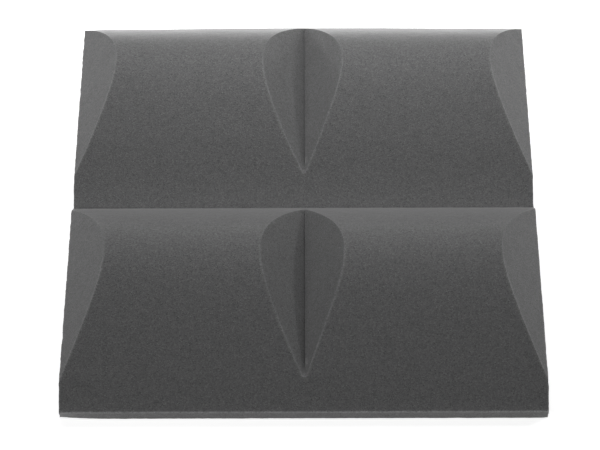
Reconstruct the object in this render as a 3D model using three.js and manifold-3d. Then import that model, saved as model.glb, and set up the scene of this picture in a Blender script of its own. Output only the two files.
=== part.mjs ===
// Acoustic foam tile, laid on its back: one contour-cut block of open-cell foam, with four
// double-sided fixing pads stuck to its flat back and a release liner on each pad.
// Millimetres. X runs across the tile, Y from its thin front edge to its back, +Z out of the wall.
// The origin is the middle of the tile in the plane of the wall, under the liners.
import * as THREE from 'three';
import { mergeVertices } from 'three/addons/utils/BufferGeometryUtils.js';
import Module from 'manifold-3d';

const wasm = await Module();
wasm.setup();

// The tile's plan. Rows follow one another from front to back, and columns lie side by side.
const tile_width = 304.8;
const tile_length = 304.8;
const row_count = 2;
const column_count = 2;
const row_pitch = tile_length / row_count;
const column_pitch = tile_width / column_count;

// Heights above the foam's flat back.
const lip_height = 8;
const groove_floor_height = 16.4;
const crest_height = 45;

// The grooves are a straight V, with this slope from the flat back up each wall.
const groove_wall_angle = 47;

// One row's outline from its front lip, as [share of the row's pitch, share of the rise from
// the lip to the crest]: the ramp's two handles, the crest, and the fall's two handles.
const ramp_foot_shares = [0.38, 0.76];
const ramp_head_shares = [0.51, 1];
const crest_shares = [0.635, 1];
const fall_head_shares = [0.735, 1];
const fall_foot_shares = [0.85, 0.815];
const curve_steps = 16;

// Fixing pads: squares of thin double-sided foam tape near the tile's corners.
const pad_side = 25.4;
const pad_thickness = 0.8;
const pad_corner = 2;
const pad_edge_distance = 22;

// Release liners: the same square with a border, and a finger tab towards the tile's middle.
const liner_thickness = 0.2;
const liner_border = 0.6;
const liner_tab = 8;

// The foam's back stands off the wall by a pad and its liner. Cutters run past what they cut.
const foam_back = liner_thickness + pad_thickness;
const cut_overrun = 2;

const foam_finish = { color: 0x59595a, roughness: 0.95, metalness: 0 };
const pad_finish = { color: 0xdddad0, roughness: 0.7, metalness: 0 };
const liner_finish = { color: 0xd4c193, roughness: 0.45, metalness: 0 };

// A closed geometry as a solid that can be cut.
function solidOf(geometry) {
  const bare = geometry.clone();
  bare.deleteAttribute('normal');
  bare.deleteAttribute('uv');
  const merged = mergeVertices(bare);
  return new wasm.Manifold(new wasm.Mesh({
    numProp: 3,
    vertProperties: new Float32Array(merged.attributes.position.array),
    triVerts: new Uint32Array(merged.index.array),
  }));
}

// A cut solid as a flat-shaded geometry.
function geometryOf(solid) {
  const mesh = solid.getMesh();
  const geometry = new THREE.BufferGeometry();
  geometry.setAttribute('position', new THREE.BufferAttribute(mesh.vertProperties, 3));
  geometry.setIndex(new THREE.BufferAttribute(mesh.triVerts, 1));
  const flat = geometry.toNonIndexed();
  flat.computeVertexNormals();
  return flat;
}

// The side outline of the whole block: Y across the page and Z up it.
function sideOutline() {
  const rise = crest_height - lip_height;
  const outline = new THREE.Shape();
  outline.moveTo(-tile_length / 2, 0);
  outline.lineTo(tile_length / 2, 0);
  outline.lineTo(tile_length / 2, lip_height);
  for (let row = row_count - 1; row >= 0; row -= 1) {
    const row_front = -tile_length / 2 + row * row_pitch;
    const place = ([reach_share, rise_share]) => [
      row_front + reach_share * row_pitch,
      lip_height + rise_share * rise,
    ];
    outline.bezierCurveTo(...place(fall_foot_shares), ...place(fall_head_shares), ...place(crest_shares));
    outline.bezierCurveTo(...place(ramp_head_shares), ...place(ramp_foot_shares), row_front, lip_height);
  }
  outline.closePath();
  return outline;
}

// The block before its grooves: the side outline drawn out across the tile.
function waveBlock() {
  const block = new THREE.ExtrudeGeometry(sideOutline(), {
    depth: tile_width,
    bevelEnabled: false,
    curveSegments: curve_steps,
  });
  const across = new THREE.Matrix4().makeBasis(
    new THREE.Vector3(0, 1, 0),
    new THREE.Vector3(0, 0, 1),
    new THREE.Vector3(1, 0, 0),
  );
  return block.applyMatrix4(across).translate(-tile_width / 2, 0, 0);
}

// A straight V from front to back, its point at the groove's floor.
function grooveCutter(middle) {
  const depth = crest_height - groove_floor_height + cut_overrun;
  const half_width = depth / Math.tan(THREE.MathUtils.degToRad(groove_wall_angle));
  const outline = new THREE.Shape();
  outline.moveTo(0, 0);
  outline.lineTo(half_width, depth);
  outline.lineTo(-half_width, depth);
  outline.closePath();
  const cutter = new THREE.ExtrudeGeometry(outline, {
    depth: tile_length + 2 * cut_overrun,
    bevelEnabled: false,
  });
  cutter.rotateX(Math.PI / 2);
  return cutter.translate(middle, tile_length / 2 + cut_overrun, groove_floor_height);
}

// A flat rectangle with rounded corners, from its lower left corner.
function roundedPlate(left, front, width, length, corner, thickness) {
  const outline = new THREE.Shape();
  const right = left + width;
  const back = front + length;
  outline.moveTo(left + corner, front);
  outline.lineTo(right - corner, front);
  outline.absarc(right - corner, front + corner, corner, -Math.PI / 2, 0);
  outline.lineTo(right, back - corner);
  outline.absarc(right - corner, back - corner, corner, 0, Math.PI / 2);
  outline.lineTo(left + corner, back);
  outline.absarc(left + corner, back - corner, corner, Math.PI / 2, Math.PI);
  outline.lineTo(left, front + corner);
  outline.absarc(left + corner, front + corner, corner, Math.PI, 1.5 * Math.PI);
  return new THREE.ExtrudeGeometry(outline, {
    depth: thickness,
    bevelEnabled: false,
    curveSegments: curve_steps / 4,
  });
}

// The foam block: rows cut across it, and a V groove between columns and half of one at each side.
function foamPanel() {
  let foam = solidOf(waveBlock());
  for (let column = 0; column <= column_count; column += 1) {
    foam = foam.subtract(solidOf(grooveCutter(column * column_pitch - tile_width / 2)));
  }
  const panel = new THREE.Mesh(geometryOf(foam), new THREE.MeshStandardMaterial(foam_finish));
  panel.name = 'foam_panel';
  panel.position.z = foam_back;
  return panel;
}

// One corner's pad, between the foam's back and its liner.
function fixingPad(place) {
  const pad = new THREE.Mesh(
    roundedPlate(-pad_side / 2, -pad_side / 2, pad_side, pad_side, pad_corner, pad_thickness),
    new THREE.MeshStandardMaterial(pad_finish),
  );
  pad.name = `fixing_pad_${place}`;
  pad.position.z = liner_thickness;
  return pad;
}

// One corner's liner, whose tab is drawn towards +Y and turned to the tile's middle.
function releaseLiner(place, towards_middle) {
  const side = pad_side + 2 * liner_border;
  const liner = new THREE.Mesh(
    roundedPlate(-side / 2, -side / 2, side, side + liner_tab, pad_corner, liner_thickness),
    new THREE.MeshStandardMaterial(liner_finish),
  );
  liner.name = `release_liner_${place}`;
  liner.rotation.z = towards_middle;
  return liner;
}

const acoustic_foam_tile = new THREE.Group();
acoustic_foam_tile.add(foamPanel());

// The pads and liners, one pair near each corner of the back.
const pad_reach_x = tile_width / 2 - pad_edge_distance - pad_side / 2;
const pad_reach_y = tile_length / 2 - pad_edge_distance - pad_side / 2;
for (const [row_name, row_side] of [['front', -1], ['back', 1]]) {
  for (const [column_name, column_side] of [['left', -1], ['right', 1]]) {
    const place = `${row_name}_${column_name}`;
    const corner = new THREE.Group();
    corner.position.set(column_side * pad_reach_x, row_side * pad_reach_y, 0);
    corner.add(fixingPad(place), releaseLiner(place, row_side > 0 ? Math.PI : 0));
    acoustic_foam_tile.add(corner);
  }
}

export default acoustic_foam_tile;
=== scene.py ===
import math

import bmesh
import bpy
from mathutils import Matrix, Vector, noise
from mathutils.geometry import interpolate_bezier
from mathutils.kdtree import KDTree


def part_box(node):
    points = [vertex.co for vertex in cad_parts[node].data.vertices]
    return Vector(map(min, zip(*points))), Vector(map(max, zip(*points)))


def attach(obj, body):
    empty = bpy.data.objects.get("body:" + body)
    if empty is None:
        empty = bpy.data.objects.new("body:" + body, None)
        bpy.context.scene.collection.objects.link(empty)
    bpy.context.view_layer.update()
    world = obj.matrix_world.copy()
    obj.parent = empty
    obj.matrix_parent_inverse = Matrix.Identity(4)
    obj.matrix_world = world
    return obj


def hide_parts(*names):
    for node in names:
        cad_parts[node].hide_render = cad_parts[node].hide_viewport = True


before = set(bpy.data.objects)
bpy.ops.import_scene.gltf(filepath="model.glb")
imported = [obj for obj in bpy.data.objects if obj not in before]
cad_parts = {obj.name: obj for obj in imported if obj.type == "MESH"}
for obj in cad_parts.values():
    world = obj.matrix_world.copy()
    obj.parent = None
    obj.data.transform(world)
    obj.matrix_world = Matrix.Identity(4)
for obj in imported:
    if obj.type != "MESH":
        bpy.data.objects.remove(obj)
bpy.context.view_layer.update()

mm = 0.001

# The foam block
# One block of charcoal open-cell polyurethane foam. A contour blade cuts the wave of two rows
# across it, and a second pass cuts the straight V grooves, so every top face is a fresh cut
# through the cells and every cut edge is slightly frayed. The back is flat.
foam_low, foam_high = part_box("foam_panel")
half_width = foam_high.x
half_length = foam_high.y
row_count = 2
column_count = 2
row_pitch = 2 * half_length / row_count
column_pitch = 2 * half_width / column_count

# One row's outline, as shares of the row's pitch and of its rise from the lip to the crest: the
# ramp's two handles, the crest, and the fall's two handles.
lip_height = 8 * mm
ramp_foot_shares = (0.38, 0.76)
ramp_head_shares = (0.51, 1)
crest_shares = (0.635, 1)
fall_head_shares = (0.735, 1)
fall_foot_shares = (0.85, 0.815)

# The blade leans in over the first stretch of each ramp, which leaves it slightly hollow, more
# so in the back row. Front row first: how far that reaches, and how much flatter the foot is.
row_hollows = ((20 * mm, 0.12), (45 * mm, 0.20))

# The mesh: the size of its grid, how finely each curve is sampled, the rows of faces down its
# sides, the narrow rim round its back, the angle past which its edges are sharp, and how near to
# a cut a point counts as on it.
grid_step = 1.1 * mm
curve_samples = 400
side_rows = 8
back_rim = 1.5 * mm
sharp_angle = math.radians(20)
cut_tolerance = 1e-7

# Each groove is a V. Over the first depth of a whole one the blade pushes the foam aside, which
# leaves the groove's bottom high there.
groove_floor_height = 16.4 * mm
groove_wall_slope = math.tan(math.radians(47))
groove_run_in = 5 * mm
tip_half_width = 1.2 * mm
tip_rise = 1.5 * mm

# A whole groove takes two passes, one down each wall. The left one runs on past the groove's
# bottom, which leaves a small steep step at the foot of the right wall. The two grid columns to
# the right of the bottom become the step's foot and head: how far each then is from the bottom,
# and whether it lies on the left wall's line (-1) or on the right wall's (1).
groove_overrun = 0.5 * mm
step_width = 0.1 * mm
step_columns = {1: (groove_overrun, -1), 2: (groove_overrun + step_width, 1)}


def section_point(row_front, shares):
    """A place on one row's outline, from its shares of the row's pitch and of its rise."""
    lip = foam_low.z + lip_height
    return Vector((0, row_front + shares[0] * row_pitch, lip + shares[1] * (foam_high.z - lip)))


def even_points(line, step):
    """Points at even distances along a line, its two ends kept."""
    reach = [0.0]
    for a, b in zip(line, line[1:]):
        reach.append(reach[-1] + (b - a).length)
    count = round(reach[-1] / step)
    points = [line[0]]
    k = 0
    for i in range(1, count):
        goal = reach[-1] * i / count
        while reach[k + 1] < goal:
            k += 1
        points.append(line[k].lerp(line[k + 1], (goal - reach[k]) / (reach[k + 1] - reach[k])))
    return points + [line[-1]]


def hollowed(point, row_front, reach, slope):
    """A ramp point lowered by the hollow near the ramp's foot."""
    along = (point.y - row_front) / reach
    if 0 < along < 1:
        point.z -= slope * reach * along * (1 - along) ** 2
    return point


def row_outline(row_front, hollow):
    """One row from its front lip over the crest to the next row's lip."""
    foot = section_point(row_front, (0, 0))
    crest = section_point(row_front, crest_shares)
    end = section_point(row_front, (1, 0))
    ramp = interpolate_bezier(foot, section_point(row_front, ramp_foot_shares),
                              section_point(row_front, ramp_head_shares), crest, curve_samples)
    fall = interpolate_bezier(crest, section_point(row_front, fall_head_shares),
                              section_point(row_front, fall_foot_shares), end, curve_samples)
    ramp = [hollowed(p, row_front, *hollow) for p in even_points(ramp, grid_step)]
    return ramp, even_points(fall, grid_step)[1:]


def wave_sheet(bm):
    """The contour-cut top: the rows' outline drawn across the block."""
    points = []
    for row in range(row_count):
        ramp, fall = row_outline(-half_length + row * row_pitch, row_hollows[row])
        points += (ramp if row == 0 else ramp[1:]) + fall
    line = [bm.verts.new((-half_width, p.y, p.z)) for p in points]
    edges = [bm.edges.new(pair) for pair in zip(line, line[1:])]
    steps = 2 * column_count * round(column_pitch / grid_step / 2)
    bmesh.ops.spin(bm, geom=line + edges, cent=(0, 0, 0), axis=(1, 0, 0), angle=0,
                   dvec=(2 * half_width / steps, 0, 0), steps=steps, use_duplicate=False)


def groove_middle(groove):
    """Where a groove's bottom lies across the block."""
    return groove * column_pitch - half_width


def nearness(distance, reach):
    """1 at no distance, falling evenly to 0 at the reach."""
    return max(0.0, 1 - distance / reach)


def grooved(place):
    """Where a point of the wave lies once the grooves are cut: down on a wall, or unmoved."""
    groove = round((place.x + half_width) / column_pitch)
    across = place.x - groove_middle(groove)
    floor = foam_low.z + groove_floor_height
    wall = floor + groove_wall_slope * abs(across)
    cut = place.z - wall
    if cut < cut_tolerance:
        return place
    if groove in (0, column_count):
        return Vector((place.x, place.y, wall))
    run_in = min(1, cut / groove_run_in)
    grid_column = round(across / grid_step)
    if grid_column in step_columns:
        reach, wall_side = step_columns[grid_column]
        step_height = floor + wall_side * groove_wall_slope * reach
        step = Vector((groove_middle(groove) + reach, place.y, step_height))
        return Vector((place.x, place.y, wall)).lerp(step, run_in)
    pushed_up = tip_rise * nearness(abs(across), tip_half_width) * (1 - run_in)
    return Vector((place.x, place.y, min(place.z, wall + pushed_up)))


def cut_near(bm, middle, reach, place, direction):
    """Cuts the faces between the middle and the reach, which may be negative, by a plane."""
    near = [f for f in bm.faces if 0 < (f.calc_center_median().x - middle) / reach < 1]
    borders = dict.fromkeys(g for f in near for g in (*f.edges, *f.verts))
    bmesh.ops.bisect_plane(bm, geom=[*near, *borders], dist=cut_tolerance,
                           plane_co=place, plane_no=direction)


def cut_grooves(bm):
    """Cuts each groove's two walls into the wave, and lets what is above a wall down onto it."""
    wall_reach = (foam_high.z - foam_low.z) / groove_wall_slope
    for groove in range(column_count + 1):
        middle = groove_middle(groove)
        floor = Vector((middle, 0, foam_low.z + groove_floor_height))
        for side in (-1, 1):
            cut_near(bm, middle, side * wall_reach, floor, (-side * groove_wall_slope, 0, 1))
    for v in bm.verts:
        v.co = grooved(v.co)


def drawn_out(bm, edges):
    """New faces drawn out of a border: the border's new edges and their points."""
    made = bmesh.ops.extrude_edge_only(bm, edges=edges)["geom"]
    return ([g for g in made if isinstance(g, bmesh.types.BMEdge)],
            [g for g in made if isinstance(g, bmesh.types.BMVert)])


def close_block(bm):
    """The four sides, drawn down from the top's border, and the flat back with its rim."""
    border = [e for e in bm.edges if e.is_boundary]
    for row in range(side_rows, 0, -1):
        border, lowered = drawn_out(bm, border)
        for v in lowered:
            v.co.z = foam_low.z + (v.co.z - foam_low.z) * (row - 1) / row
    border, rim = drawn_out(bm, border)
    inward = (1 - back_rim / half_width, 1 - back_rim / half_length, 1)
    bmesh.ops.scale(bm, verts=rim, vec=inward, space=Matrix.Identity(4))
    bmesh.ops.contextual_create(bm, geom=border)
    bmesh.ops.recalc_face_normals(bm, faces=bm.faces)


# How uneven the cut faces and edges are, in several sizes of noise as (length, height), and how
# ragged each side was cut against the others.
face_waves = ((11 * mm, 0.10 * mm), (2.6 * mm, 0.07 * mm))
edge_waves = ((9 * mm, 0.25 * mm), (3.2 * mm, 0.24 * mm), (1.7 * mm, 0.22 * mm))
fray_waves = ((1.5 * mm, 0.22 * mm),)
left_raggedness = 1.0
right_raggedness = 0.6
front_raggedness = 0.35
back_raggedness = 0.7

# The two front corners of the back are worn round: which side each is on, how far that reaches
# along the front edge, and how deep it is.
worn_corners = ((-1, 32 * mm, 1.4 * mm), (1, 6 * mm, 0.4 * mm))

# The soft block is not quite square. Its sides run apart towards the back.
front_narrowing = 0.2 * mm
back_widening = 0.5 * mm

# Its back edge falls away outside the middle, from one share of the half width to another, and
# once more at the two back corners.
back_fall_off = 0.85 * mm
back_fall_reach = 40 * mm
back_fall_shares = (1 / 3, 2 / 3)
back_corner_reach = 14 * mm

# Its middle groove leans: the bottom lies a little to the right, and the edges to the left.
bottom_shift = 0.45 * mm
bottom_reach = 15 * mm
edge_shift = 0.6 * mm
edge_reach = 27 * mm

# Along a cut edge the cells are torn, and the colour is painted lighter there as a painted
# highlight; the sawn outer faces are painted lighter all over, as painted light: how strong that
# is from 0 to 1, how far it reaches from the edge, and the length over which it comes and goes.
lip_fray_and_highlight = 1.0
side_edge_fray_and_highlight = 0.5
ramp_edge_fray_and_highlight = 0.34
fall_edge_fray_and_highlight = 0.08
outer_face_painted_light = 0.32
fray_and_highlight_reach = 1.1 * mm
fray_and_highlight_patches = ((3 * mm, 0.45), (1.4 * mm, 0.3))

# A groove's edge is torn, and given the painted highlight, most along the ramps, up to a little
# past the crest, and that fades over the last stretch. Both are shares of the row's pitch.
ramp_fray_and_highlight_end = crest_shares[0] + 0.05
ramp_fray_and_highlight_fade = 0.15

# A point this near a side lies on it. An edge this near the middle of the block, and with this
# much of its direction from front to back, is the small step's, which isn't frayed and gets no
# painted highlight.
side_tolerance = 1e-6
step_edge_reach = 2 * grid_step
step_edge_direction = 0.99


def unevenness(place, waves):
    """The sum of several sizes of smooth noise, each (length, height)."""
    return sum(height * noise.noise(place / length) for length, height in waves)


def outer_side(place):
    """The side that a point lies on, as the direction out of it, or zero on the top and back."""
    side = Vector((0, 0, 0))
    if abs(place.x) > half_width - side_tolerance:
        side.x = math.copysign(1, place.x)
    if abs(place.y) > half_length - side_tolerance:
        side.y = math.copysign(1, place.y)
    return side


def is_frayed_and_highlit(edge):
    """Whether an edge is one of the outer ones or a groove's, and not the small step's.

    Such an edge is frayed and gets the painted highlight.
    """
    if edge.smooth or not edge.is_convex:
        return False
    start, end = (v.co for v in edge.verts)
    direction = (end - start).normalized()
    return abs(start.x) >= step_edge_reach or abs(direction.y) <= step_edge_direction


def edge_fray_and_highlight(place):
    """How frayed the edge through a place is there, and how strongly it is painted lighter."""
    side = outer_side(place)
    if side.y:
        return lip_fray_and_highlight
    if side.x:
        return side_edge_fray_and_highlight
    along = (place.y + half_length) / row_pitch % 1
    on_ramp = min(1.0, max(0.0, (ramp_fray_and_highlight_end - along) / ramp_fray_and_highlight_fade))
    return fall_edge_fray_and_highlight + (ramp_edge_fray_and_highlight - fall_edge_fray_and_highlight) * on_ramp


def mark_fray_and_highlight(bm):
    """Stores how frayed each point is, from 1 on an outer edge to 0 on a clean cut face.

    The same value paints the highlight along the edges, and the outer faces are painted lighter.
    """
    fray_and_highlight = bm.verts.layers.float.new("fray_and_highlight")
    on_edge = dict.fromkeys(v for e in bm.edges if is_frayed_and_highlit(e) for v in e.verts)
    tree = KDTree(len(on_edge))
    for i, v in enumerate(on_edge):
        tree.insert(v.co, i)
    tree.balance()
    for v in bm.verts:
        edge_place, _, distance = tree.find(v.co)
        patch = 1 + unevenness(edge_place, fray_and_highlight_patches)
        v[fray_and_highlight] = edge_fray_and_highlight(edge_place) * patch * nearness(distance, fray_and_highlight_reach)
        # The outer faces are painted lighter all over, as painted light.
        if outer_side(v.co).length:
            v[fray_and_highlight] = max(v[fray_and_highlight], outer_face_painted_light)
    return fray_and_highlight


def out_of_square(place):
    """How far the block's real shape lies from the square one at a point."""
    back_share = (place.y + half_length) / (2 * half_length)
    spread = back_widening * back_share - front_narrowing * (1 - back_share)

    aside = abs(place.x)
    fall_start, fall_end = back_fall_shares
    outer_share = (aside / half_width - fall_start) / (fall_end - fall_start)
    outer_share = min(1.0, max(0.0, outer_share))
    corner_share = nearness(half_width - aside, back_corner_reach)
    near_back = nearness(half_length - place.y, back_fall_reach)
    fall_off = back_fall_off * near_back * (outer_share + corner_share)

    bottom_share = nearness(aside, bottom_reach)
    edge_share = min(1.0, (half_width - aside) / (half_width - edge_reach)) * (1 - bottom_share)
    lean = bottom_share * bottom_shift - edge_share * edge_shift
    return Vector((spread * place.x / half_width + lean, -fall_off, 0))


def roughen(bm, fray_and_highlight):
    """Makes the cut faces and edges uneven, but leaves the back flat."""
    bm.normal_update()
    moves = []
    for v in bm.verts:
        side = outer_side(v.co)
        raggedness = Vector((right_raggedness if side.x > 0 else left_raggedness,
                             back_raggedness if side.y > 0 else front_raggedness, 0))
        move = side * raggedness * unevenness(v.co, edge_waves)
        if v.co.z > foam_low.z + side_tolerance and not side.length:
            torn = v[fray_and_highlight] * unevenness(v.co, fray_waves)
            move += v.normal * (unevenness(v.co, face_waves) + torn)
        height = (v.co.z - foam_low.z) / lip_height
        if side.y < 0 and height < 1:
            for corner, reach, depth in worn_corners:
                near = nearness(half_width - corner * v.co.x, reach)
                move.y += depth * near ** 2 * (1 - height)
        moves.append(move + out_of_square(v.co))
    for v, move in zip(bm.verts, moves):
        v.co += move


def finished_mesh(name, bm):
    """A mesh of that name with the shape made."""
    mesh = bpy.data.meshes.new(name)
    bm.to_mesh(mesh)
    bm.free()
    return mesh


def add_object(name, data):
    """An object of that name, put into the scene."""
    added = bpy.data.objects.new(name, data)
    bpy.context.scene.collection.objects.link(added)
    return added


def new_material(name):
    """A material of that name, with its nodes, its links and its shader."""
    material = bpy.data.materials.new(name)
    material.use_nodes = True
    tree = material.node_tree
    return material, tree.nodes, tree.links, tree.nodes["Principled BSDF"]


# The grain against the width of one cell: how far its pattern is bent, how many lumps stand in a
# cell's width, and the heights of the lumps and of the struts between the cells.
bend_share = 0.5
lumps_per_cell = 1.5
lump_height_share = 0.45
strut_height_share = 0.1


def cell_grain():
    """A node group: the cut cells of a foam, as a brightness factor around 1 and a height in metres.

    A cell cut open looks dark, and one with its film left across it looks light.
    """
    group = bpy.data.node_groups.new("cell_grain", "ShaderNodeTree")
    for name in ("Cells per metre", "Contrast"):
        group.interface.new_socket(name, in_out="INPUT", socket_type="NodeSocketFloat")
    for name in ("Factor", "Height"):
        group.interface.new_socket(name, in_out="OUTPUT", socket_type="NodeSocketFloat")
    nodes, links = group.nodes, group.links
    given = nodes.new("NodeGroupInput")
    out = nodes.new("NodeGroupOutput")
    place = nodes.new("ShaderNodeTexCoord")

    bend = nodes.new("ShaderNodeTexNoise")
    bend.inputs["Detail"].default_value = 1
    links.new(place.outputs["Object"], bend.inputs["Vector"])
    links.new(given.outputs["Cells per metre"], bend.inputs["Scale"])
    centred = nodes.new("ShaderNodeVectorMath")
    centred.operation = "SUBTRACT"
    centred.inputs[1].default_value = (0.5, 0.5, 0.5)
    links.new(bend.outputs["Color"], centred.inputs[0])
    bend_reach = nodes.new("ShaderNodeMath")
    bend_reach.operation = "DIVIDE"
    bend_reach.inputs[0].default_value = bend_share
    links.new(given.outputs["Cells per metre"], bend_reach.inputs[1])
    shift = nodes.new("ShaderNodeVectorMath")
    shift.operation = "SCALE"
    links.new(centred.outputs["Vector"], shift.inputs[0])
    links.new(bend_reach.outputs["Value"], shift.inputs["Scale"])
    bent = nodes.new("ShaderNodeVectorMath")
    links.new(place.outputs["Object"], bent.inputs[0])
    links.new(shift.outputs["Vector"], bent.inputs[1])

    walls = nodes.new("ShaderNodeTexVoronoi")
    walls.feature = "DISTANCE_TO_EDGE"
    cells = nodes.new("ShaderNodeTexVoronoi")
    for voronoi in (walls, cells):
        links.new(bent.outputs["Vector"], voronoi.inputs["Vector"])
        links.new(given.outputs["Cells per metre"], voronoi.inputs["Scale"])
    strut = nodes.new("ShaderNodeMapRange")
    strut.interpolation_type = "SMOOTHSTEP"
    strut.inputs["From Min"].default_value = 0.02
    strut.inputs["From Max"].default_value = 0.3
    strut.inputs["To Min"].default_value = 1
    strut.inputs["To Max"].default_value = 0
    links.new(walls.outputs["Distance"], strut.inputs["Value"])
    filled = nodes.new("ShaderNodeSeparateColor")
    links.new(cells.outputs["Color"], filled.inputs["Color"])

    cell_level = nodes.new("ShaderNodeMapRange")
    cell_level.inputs["To Min"].default_value = -1
    cell_level.inputs["To Max"].default_value = 1
    links.new(filled.outputs["Red"], cell_level.inputs["Value"])
    level = nodes.new("ShaderNodeMix")
    level.inputs["B"].default_value = 0
    links.new(strut.outputs["Result"], level.inputs["Factor"])
    links.new(cell_level.outputs["Result"], level.inputs["A"])
    factor = nodes.new("ShaderNodeMath")
    factor.operation = "MULTIPLY_ADD"
    factor.inputs[2].default_value = 1
    links.new(level.outputs["Result"], factor.inputs[0])
    links.new(given.outputs["Contrast"], factor.inputs[1])
    links.new(factor.outputs["Value"], out.inputs["Factor"])

    lump_scale = nodes.new("ShaderNodeMath")
    lump_scale.operation = "MULTIPLY"
    lump_scale.inputs[1].default_value = lumps_per_cell
    links.new(given.outputs["Cells per metre"], lump_scale.inputs[0])
    lumps = nodes.new("ShaderNodeTexNoise")
    lumps.inputs["Detail"].default_value = 0
    links.new(place.outputs["Object"], lumps.inputs["Vector"])
    links.new(lump_scale.outputs["Value"], lumps.inputs["Scale"])
    lump_height = nodes.new("ShaderNodeMath")
    lump_height.operation = "MULTIPLY"
    lump_height.inputs[1].default_value = lump_height_share
    links.new(lumps.outputs["Fac"], lump_height.inputs[0])
    height = nodes.new("ShaderNodeMath")
    height.operation = "MULTIPLY_ADD"
    height.inputs[1].default_value = strut_height_share
    links.new(strut.outputs["Result"], height.inputs[0])
    links.new(lump_height.outputs["Value"], height.inputs[2])
    height_in_metres = nodes.new("ShaderNodeMath")
    height_in_metres.operation = "DIVIDE"
    links.new(height.outputs["Value"], height_in_metres.inputs[0])
    links.new(given.outputs["Cells per metre"], height_in_metres.inputs[1])
    links.new(height_in_metres.outputs["Value"], out.inputs["Height"])
    return group


# The foam's colour, how fine its cells are and how much their brightness differs, the mottle in
# it, and how much lighter the painted highlight makes it where it is frayed most.
foam_colour = (0.1, 0.1, 0.1008)
cells_per_metre = 1450
cell_contrast = 0.55
mottle_length = 14 * mm
mottle_contrast = 0.03
edge_highlight_brightness = 2.4


def charcoal_foam(grain_group):
    """The cut face of the charcoal foam."""
    material, nodes, links, shader = new_material("charcoal_foam")
    shader.inputs["Roughness"].default_value = 0.7
    shader.inputs["Specular IOR Level"].default_value = 0.0
    shader.inputs["Coat Weight"].default_value = 0.75
    shader.inputs["Coat IOR"].default_value = 1.2
    shader.inputs["Coat Roughness"].default_value = 0.3
    shader.inputs["Sheen Weight"].default_value = 0.2
    shader.inputs["Sheen Roughness"].default_value = 0.5

    grain = nodes.new("ShaderNodeGroup")
    grain.node_tree = grain_group
    grain.inputs["Cells per metre"].default_value = cells_per_metre
    grain.inputs["Contrast"].default_value = cell_contrast

    place = nodes.new("ShaderNodeTexCoord")
    mottle = nodes.new("ShaderNodeTexNoise")
    mottle.inputs["Scale"].default_value = 1 / mottle_length
    mottle.inputs["Detail"].default_value = 3
    links.new(place.outputs["Object"], mottle.inputs["Vector"])
    mottle_level = nodes.new("ShaderNodeMapRange")
    mottle_level.inputs["To Min"].default_value = 1 - mottle_contrast
    mottle_level.inputs["To Max"].default_value = 1 + mottle_contrast
    links.new(mottle.outputs["Fac"], mottle_level.inputs["Value"])

    # The painted highlight: the colour is made lighter along the frayed edges and on the outer
    # faces.
    fray_and_highlight = nodes.new("ShaderNodeAttribute")
    fray_and_highlight.attribute_name = "fray_and_highlight"
    painted_edge_highlight = nodes.new("ShaderNodeMapRange")
    painted_edge_highlight.inputs["To Min"].default_value = 1.0
    painted_edge_highlight.inputs["To Max"].default_value = edge_highlight_brightness
    links.new(fray_and_highlight.outputs["Fac"], painted_edge_highlight.inputs["Value"])

    # The mottle, times the painted highlight.
    mottle_and_highlight = nodes.new("ShaderNodeMath")
    mottle_and_highlight.operation = "MULTIPLY"
    links.new(mottle_level.outputs["Result"], mottle_and_highlight.inputs[0])
    links.new(painted_edge_highlight.outputs["Result"], mottle_and_highlight.inputs[1])
    level = nodes.new("ShaderNodeMath")
    level.operation = "MULTIPLY"
    links.new(mottle_and_highlight.outputs["Value"], level.inputs[0])
    links.new(grain.outputs["Factor"], level.inputs[1])
    colour = nodes.new("ShaderNodeVectorMath")
    colour.operation = "SCALE"
    colour.inputs[0].default_value = foam_colour
    links.new(level.outputs["Value"], colour.inputs["Scale"])
    links.new(colour.outputs["Vector"], shader.inputs["Base Color"])

    bump = nodes.new("ShaderNodeBump")
    bump.inputs["Distance"].default_value = 1.0
    links.new(grain.outputs["Height"], bump.inputs["Height"])
    links.new(bump.outputs["Normal"], shader.inputs["Normal"])
    return material


bm = bmesh.new()
wave_sheet(bm)
cut_grooves(bm)
close_block(bm)
for e in bm.edges:
    if e.is_manifold and e.calc_face_angle() > sharp_angle:
        e.smooth = False
for f in bm.faces:
    f.smooth = True
fray_and_highlight_layer = mark_fray_and_highlight(bm)
roughen(bm, fray_and_highlight_layer)
mesh = finished_mesh("foam_block", bm)
foam = add_object("foam_block", mesh)
grain_group = cell_grain()
mesh.materials.append(charcoal_foam(grain_group))

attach(foam, "root")
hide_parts("foam_panel")

# Fixing pads
# Squares of thin double-sided foam tape near the corners of the flat back: a white foam core
# with a clear coat of adhesive on each face, pressed on by hand.
pad_places = ("front_left", "front_right", "back_left", "back_right")
pad_corner = 2 * mm
adhesive_thickness = 0.06 * mm
core_inset = 0.12 * mm
corner_segments = 6

# The places of the two finishes in a pad's mesh.
core_finish = 0
adhesive_finish = 1

# The core's foam is white and much finer than the tile's. The adhesive is dulled in small spots.
core_colour = (0.76, 0.74, 0.68)
core_cells_per_metre = 5000
core_contrast = 0.25
spots_per_metre = 700


def rounded_plate(bm, low, high, corner):
    """A flat rectangle with rounded corners at the low point's height."""
    corners = [(low.x, low.y), (high.x, low.y), (high.x, high.y), (low.x, high.y)]
    face = bm.faces.new([bm.verts.new((x, y, low.z)) for x, y in corners])
    bmesh.ops.bevel(bm, geom=list(face.verts), offset=corner, affect="VERTICES",
                    segments=corner_segments, profile=0.5, material=-1)


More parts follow.
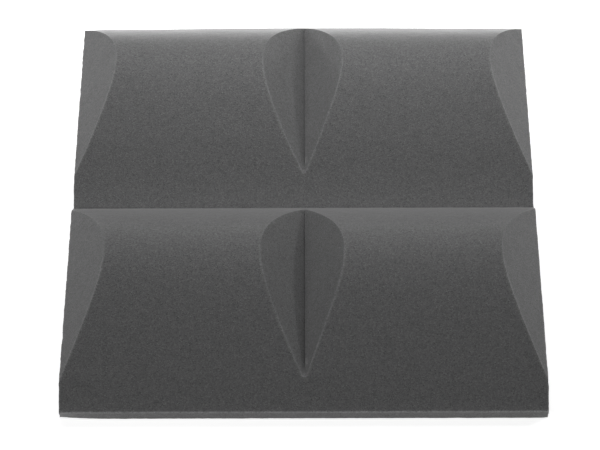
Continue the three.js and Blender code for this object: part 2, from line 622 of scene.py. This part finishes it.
def pad_mesh(name, low, high):
    """A pad, drawn up from its lower face: a coat, a step in, the core, a step out and a coat."""
    bm = bmesh.new()
    rounded_plate(bm, low, high, pad_corner)
    to_middle = Matrix.Translation((low + high) / -2)
    core_share = 1 - 2 * core_inset / (high.x - low.x)
    thickness = high.z - low.z
    # Each one's rise, how much it widens, and its finish.
    layers = (
        (adhesive_thickness, 1, adhesive_finish),
        (0, core_share, core_finish),
        (thickness - 2 * adhesive_thickness, 1, core_finish),
        (0, 1 / core_share, core_finish),
        (adhesive_thickness, 1, adhesive_finish),
    )
    border = list(bm.edges)
    for rise, widening, finish in layers:
        border, ring = drawn_out(bm, border)
        bmesh.ops.translate(bm, verts=ring, vec=(0, 0, rise))
        bmesh.ops.scale(bm, verts=ring, vec=(widening, widening, 1), space=to_middle)
        for f in {f for e in border for f in e.link_faces}:
            f.material_index = finish
    for f in bmesh.ops.contextual_create(bm, geom=border)["faces"]:
        f.material_index = adhesive_finish
    bmesh.ops.recalc_face_normals(bm, faces=bm.faces)
    return finished_mesh(name, bm)


def pad_core():
    """The fine white foam inside the tape."""
    material, nodes, links, shader = new_material("pad_core")
    shader.inputs["Roughness"].default_value = 0.8
    shader.inputs["Specular IOR Level"].default_value = 0.3
    grain = nodes.new("ShaderNodeGroup")
    grain.node_tree = grain_group
    grain.inputs["Cells per metre"].default_value = core_cells_per_metre
    grain.inputs["Contrast"].default_value = core_contrast
    colour = nodes.new("ShaderNodeVectorMath")
    colour.operation = "SCALE"
    colour.inputs[0].default_value = core_colour
    links.new(grain.outputs["Factor"], colour.inputs["Scale"])
    links.new(colour.outputs["Vector"], shader.inputs["Base Color"])
    bump = nodes.new("ShaderNodeBump")
    bump.inputs["Distance"].default_value = 1.0
    links.new(grain.outputs["Height"], bump.inputs["Height"])
    links.new(bump.outputs["Normal"], shader.inputs["Normal"])
    return material


def pad_adhesive():
    """The coat of adhesive, dulled where air is caught under it."""
    material, nodes, links, shader = new_material("pad_adhesive")
    shader.inputs["IOR"].default_value = 1.47
    place = nodes.new("ShaderNodeTexCoord")
    air = nodes.new("ShaderNodeTexNoise")
    air.inputs["Scale"].default_value = spots_per_metre
    air.inputs["Detail"].default_value = 3
    links.new(place.outputs["Object"], air.inputs["Vector"])
    dullness = nodes.new("ShaderNodeMapRange")
    dullness.inputs["From Min"].default_value = 0.35
    dullness.inputs["From Max"].default_value = 0.65
    dullness.inputs["To Min"].default_value = 0.18
    dullness.inputs["To Max"].default_value = 0.5
    links.new(air.outputs["Fac"], dullness.inputs["Value"])
    links.new(dullness.outputs["Result"], shader.inputs["Roughness"])
    colour = nodes.new("ShaderNodeValToRGB")
    colour.color_ramp.elements[0].color = (0.56, 0.53, 0.44, 1)
    colour.color_ramp.elements[1].color = (0.72, 0.70, 0.62, 1)
    links.new(air.outputs["Fac"], colour.inputs["Fac"])
    links.new(colour.outputs["Color"], shader.inputs["Base Color"])
    return material


pad_finishes = (pad_core(), pad_adhesive())
for place_name in pad_places:
    node = "fixing_pad_" + place_name
    mesh = pad_mesh("pad_" + place_name, *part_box(node))
    for finish in pad_finishes:
        mesh.materials.append(finish)
    pad = add_object("pad_" + place_name, mesh)
    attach(pad, "root")
    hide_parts(node)

# Release liners
# Tan siliconised paper on each pad's outer face, die-cut with a border and a finger tab towards
# the tile's middle. The tab is creased just past the pad's edge and lifts a little off the wall.
liner_thickness = 0.2 * mm
tab_length = 8 * mm
tab_lift = 0.4 * mm
tab_curl = 1.6
tab_steps = 10

# The paper's fibres lie along X, and it is clouded.
fibres_per_metre = (900, 4200, 4200)
clouds_per_metre = 140


def liner_mesh(name, low, high):
    """The sheet with its tab curled up, drawn up to the paper's thickness."""
    bm = bmesh.new()
    rounded_plate(bm, low, high, pad_corner)
    inward = math.copysign(1, -(low.y + high.y))
    tab_end = high.y if inward > 0 else low.y
    crease = tab_end - inward * tab_length
    for step in range(tab_steps):
        place = Vector((0, crease + inward * tab_length * step / tab_steps, 0))
        bmesh.ops.bisect_plane(bm, geom=[*bm.verts, *bm.edges, *bm.faces], dist=cut_tolerance,
                               plane_co=place, plane_no=(0, 1, 0))
    made = bmesh.ops.extrude_face_region(bm, geom=list(bm.faces))["geom"]
    upper = [g for g in made if isinstance(g, bmesh.types.BMVert)]
    bmesh.ops.translate(bm, verts=upper, vec=(0, 0, liner_thickness))
    for v in bm.verts:
        along = (v.co.y - crease) * inward / tab_length
        if along > 0:
            v.co.z += tab_lift * along ** tab_curl
    bmesh.ops.recalc_face_normals(bm, faces=bm.faces)
    return finished_mesh(name, bm)


def liner_paper():
    """Tan paper with long fibres, a silicone sheen and faint clouding."""
    material, nodes, links, shader = new_material("liner_paper")
    shader.inputs["Specular IOR Level"].default_value = 0.5
    place = nodes.new("ShaderNodeTexCoord")
    fibre_place = nodes.new("ShaderNodeVectorMath")
    fibre_place.operation = "MULTIPLY"
    fibre_place.inputs[1].default_value = fibres_per_metre
    links.new(place.outputs["Object"], fibre_place.inputs[0])
    fibres = nodes.new("ShaderNodeTexNoise")
    fibres.inputs["Scale"].default_value = 1
    fibres.inputs["Detail"].default_value = 3
    links.new(fibre_place.outputs["Vector"], fibres.inputs["Vector"])
    clouds = nodes.new("ShaderNodeTexNoise")
    clouds.inputs["Scale"].default_value = clouds_per_metre
    clouds.inputs["Detail"].default_value = 4
    links.new(place.outputs["Object"], clouds.inputs["Vector"])
    both = nodes.new("ShaderNodeMix")
    both.inputs["Factor"].default_value = 0.4
    links.new(clouds.outputs["Fac"], both.inputs["A"])
    links.new(fibres.outputs["Fac"], both.inputs["B"])
    colour = nodes.new("ShaderNodeValToRGB")
    colour.color_ramp.elements[0].position = 0.3
    colour.color_ramp.elements[0].color = (0.58, 0.45, 0.23, 1)
    colour.color_ramp.elements[1].position = 0.7
    colour.color_ramp.elements[1].color = (0.74, 0.61, 0.35, 1)
    links.new(both.outputs["Result"], colour.inputs["Fac"])
    links.new(colour.outputs["Color"], shader.inputs["Base Color"])
    gloss = nodes.new("ShaderNodeMapRange")
    gloss.inputs["To Min"].default_value = 0.36
    gloss.inputs["To Max"].default_value = 0.56
    links.new(both.outputs["Result"], gloss.inputs["Value"])
    links.new(gloss.outputs["Result"], shader.inputs["Roughness"])
    bump = nodes.new("ShaderNodeBump")
    bump.inputs["Distance"].default_value = 0.03 * mm
    links.new(fibres.outputs["Fac"], bump.inputs["Height"])
    links.new(bump.outputs["Normal"], shader.inputs["Normal"])
    return material


paper = liner_paper()
for place_name in pad_places:
    node = "release_liner_" + place_name
    mesh = liner_mesh("liner_" + place_name, *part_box(node))
    mesh.materials.append(paper)
    liner = add_object("liner_" + place_name, mesh)
    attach(liner, "root")
    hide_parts(node)

# The photograph's set
# A white sheet under the tile in a white room. Two strip lamps hang close behind and above the
# tile, a small hard lamp stands at its right, and two large soft lamps fill from the front.
floor_drop = 0.05 * mm
floor_reach = 6
floor_glow = 0.65
floor_place = Matrix.Translation((0, 0, -floor_drop))
bm = bmesh.new()
bmesh.ops.create_grid(bm, x_segments=1, y_segments=1, size=floor_reach, matrix=floor_place)
floor_mesh = finished_mesh("white_floor", bm)
white_floor = add_object("white_floor", floor_mesh)


def white_sheet():
    """White paper. What the camera and reflections see of it is lifted to white."""
    material, nodes, links, shader = new_material("white_sheet")
    shader.inputs["Base Color"].default_value = (0.8, 0.8, 0.8, 1)
    shader.inputs["Roughness"].default_value = 1.0
    shader.inputs["Specular IOR Level"].default_value = 0.0
    shader.inputs["Emission Strength"].default_value = 1.0
    rays = nodes.new("ShaderNodeLightPath")
    reflected = nodes.new("ShaderNodeMath")
    reflected.operation = "MAXIMUM"
    links.new(rays.outputs["Is Glossy Ray"], reflected.inputs[0])
    links.new(rays.outputs["Is Transmission Ray"], reflected.inputs[1])
    glow = nodes.new("ShaderNodeMath")
    glow.operation = "MULTIPLY_ADD"
    glow.inputs[1].default_value = floor_glow
    links.new(rays.outputs["Is Camera Ray"], glow.inputs[0])
    links.new(reflected.outputs["Value"], glow.inputs[2])
    links.new(glow.outputs["Value"], shader.inputs["Emission Color"])
    return material


floor_mesh.materials.append(white_sheet())


def white_room():
    """A room that looks white, and whose own light leaves the object to the lamps."""
    world = bpy.data.worlds.new("white_room")
    world.use_nodes = True
    nodes, links = world.node_tree.nodes, world.node_tree.links
    rays = nodes.new("ShaderNodeLightPath")
    seen = nodes.new("ShaderNodeMath")
    seen.operation = "MAXIMUM"
    links.new(rays.outputs["Is Camera Ray"], seen.inputs[0])
    links.new(rays.outputs["Is Glossy Ray"], seen.inputs[1])
    white = nodes.new("ShaderNodeMath")
    white.operation = "MAXIMUM"
    links.new(seen.outputs["Value"], white.inputs[0])
    links.new(rays.outputs["Is Transmission Ray"], white.inputs[1])
    background = nodes["Background"]
    background.inputs["Color"].default_value = (1, 1, 1, 1)
    links.new(white.outputs["Value"], background.inputs["Strength"])
    return world


bpy.context.scene.world = white_room()


def lamp(name, place, width, height, level):
    """A lamp turned to the tile. At level 1 it alone shows a white card facing it as white."""
    place = Vector(place)
    light = bpy.data.lights.new(name, "AREA")
    light.shape = "RECTANGLE"
    light.size = width
    light.size_y = height
    light.energy = level * (math.pi * place.length) ** 2
    holder = add_object(name, light)
    holder.visible_camera = False
    holder.visible_glossy = False
    turn = (-place).to_track_quat("-Z", "Y").to_matrix().to_4x4()
    holder.matrix_world = Matrix.Translation(place) @ turn


# Each lamp's place, its width and height in metres, and its level.
lamp("strip_behind", (0, 0.30, 0.25), 0.6, 0.15, 0.682)
lamp("strip_above", (0, 0.15, 0.30), 0.6, 0.15, 0.584)
lamp("hard_right", (1.13, 0.28, 0.78), 0.12, 0.12, 0.206)
lamp("fill_left", (-0.90, -0.66, 1.0), 0.9, 0.9, 0.375)
lamp("fill_right", (0.965, -0.557, 1.0), 0.7, 0.7, 0.129)

# The camera stands in front of the tile and looks steeply down at it.
camera_data = bpy.data.cameras.new("camera")
camera_data.sensor_width = 36
camera_data.lens = 117.4
camera_data.clip_end = 50
camera = add_object("camera", camera_data)
bpy.context.scene.camera = camera
camera_place = Vector((3.9 * mm, -719.9 * mm, 1088.6 * mm))
camera_elevation = math.radians(56.80)
camera_heading = math.radians(0.50)
camera_roll = math.radians(0.59)
camera.matrix_world = (Matrix.Translation(camera_place)
                       @ Matrix.Rotation(camera_heading, 4, "Z")
                       @ Matrix.Rotation(math.pi / 2 - camera_elevation, 4, "X")
                       @ Matrix.Rotation(-camera_roll, 4, "Z"))

bpy.context.scene.view_settings.view_transform = "Standard"
